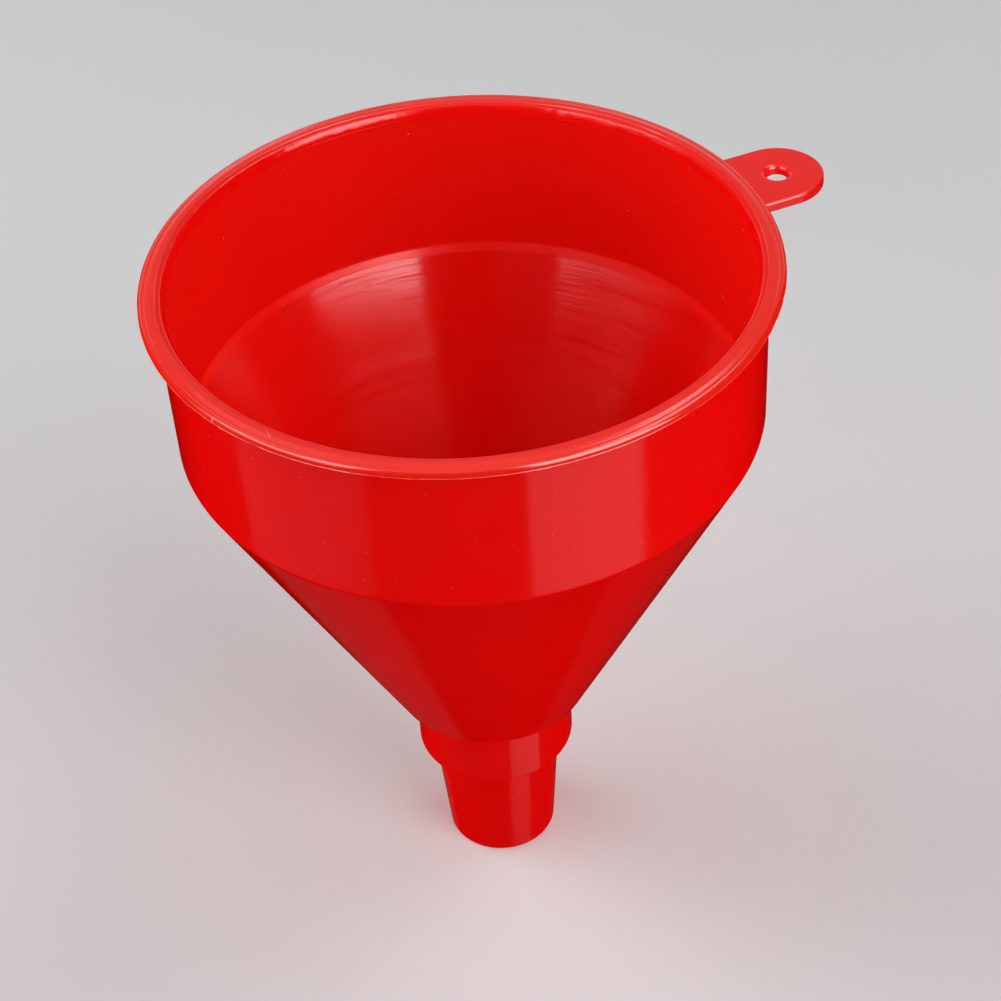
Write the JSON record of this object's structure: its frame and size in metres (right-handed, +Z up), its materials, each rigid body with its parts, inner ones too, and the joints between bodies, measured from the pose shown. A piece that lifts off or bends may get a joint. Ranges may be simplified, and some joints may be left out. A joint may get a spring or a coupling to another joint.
{
  "type": "funnel",
  "caption": "Wide-mouth pouring funnel with an upright bowl, a cone, a stepped neck, a tapered spout and a hang tab on its rim.",
  "frame": {"origin": "centre of the spout's outlet, on the plane the funnel stands on", "axes": "+Z up the funnel's axis to the mouth, +X from the axis to the hang tab"},
  "size_m": [0.1463, 0.13, 0.163],
  "materials": {
    "plastic": "glossy moulded plastic with fine scuffs",
    "rim_plastic": "the same plastic, slightly duller from handling"
  },
  "bodies": {
    "root": {"spout": "plastic", "spout_ledge": "plastic", "neck_collar": "plastic", "neck_shoulder": "plastic", "cone": "plastic", "bowl_wall": "plastic", "mouth_slope": "rim_plastic", "rim_flange": "rim_plastic", "rim_ridge": "rim_plastic", "hang_tab": "rim_plastic"}
  },
  "joints": []
}
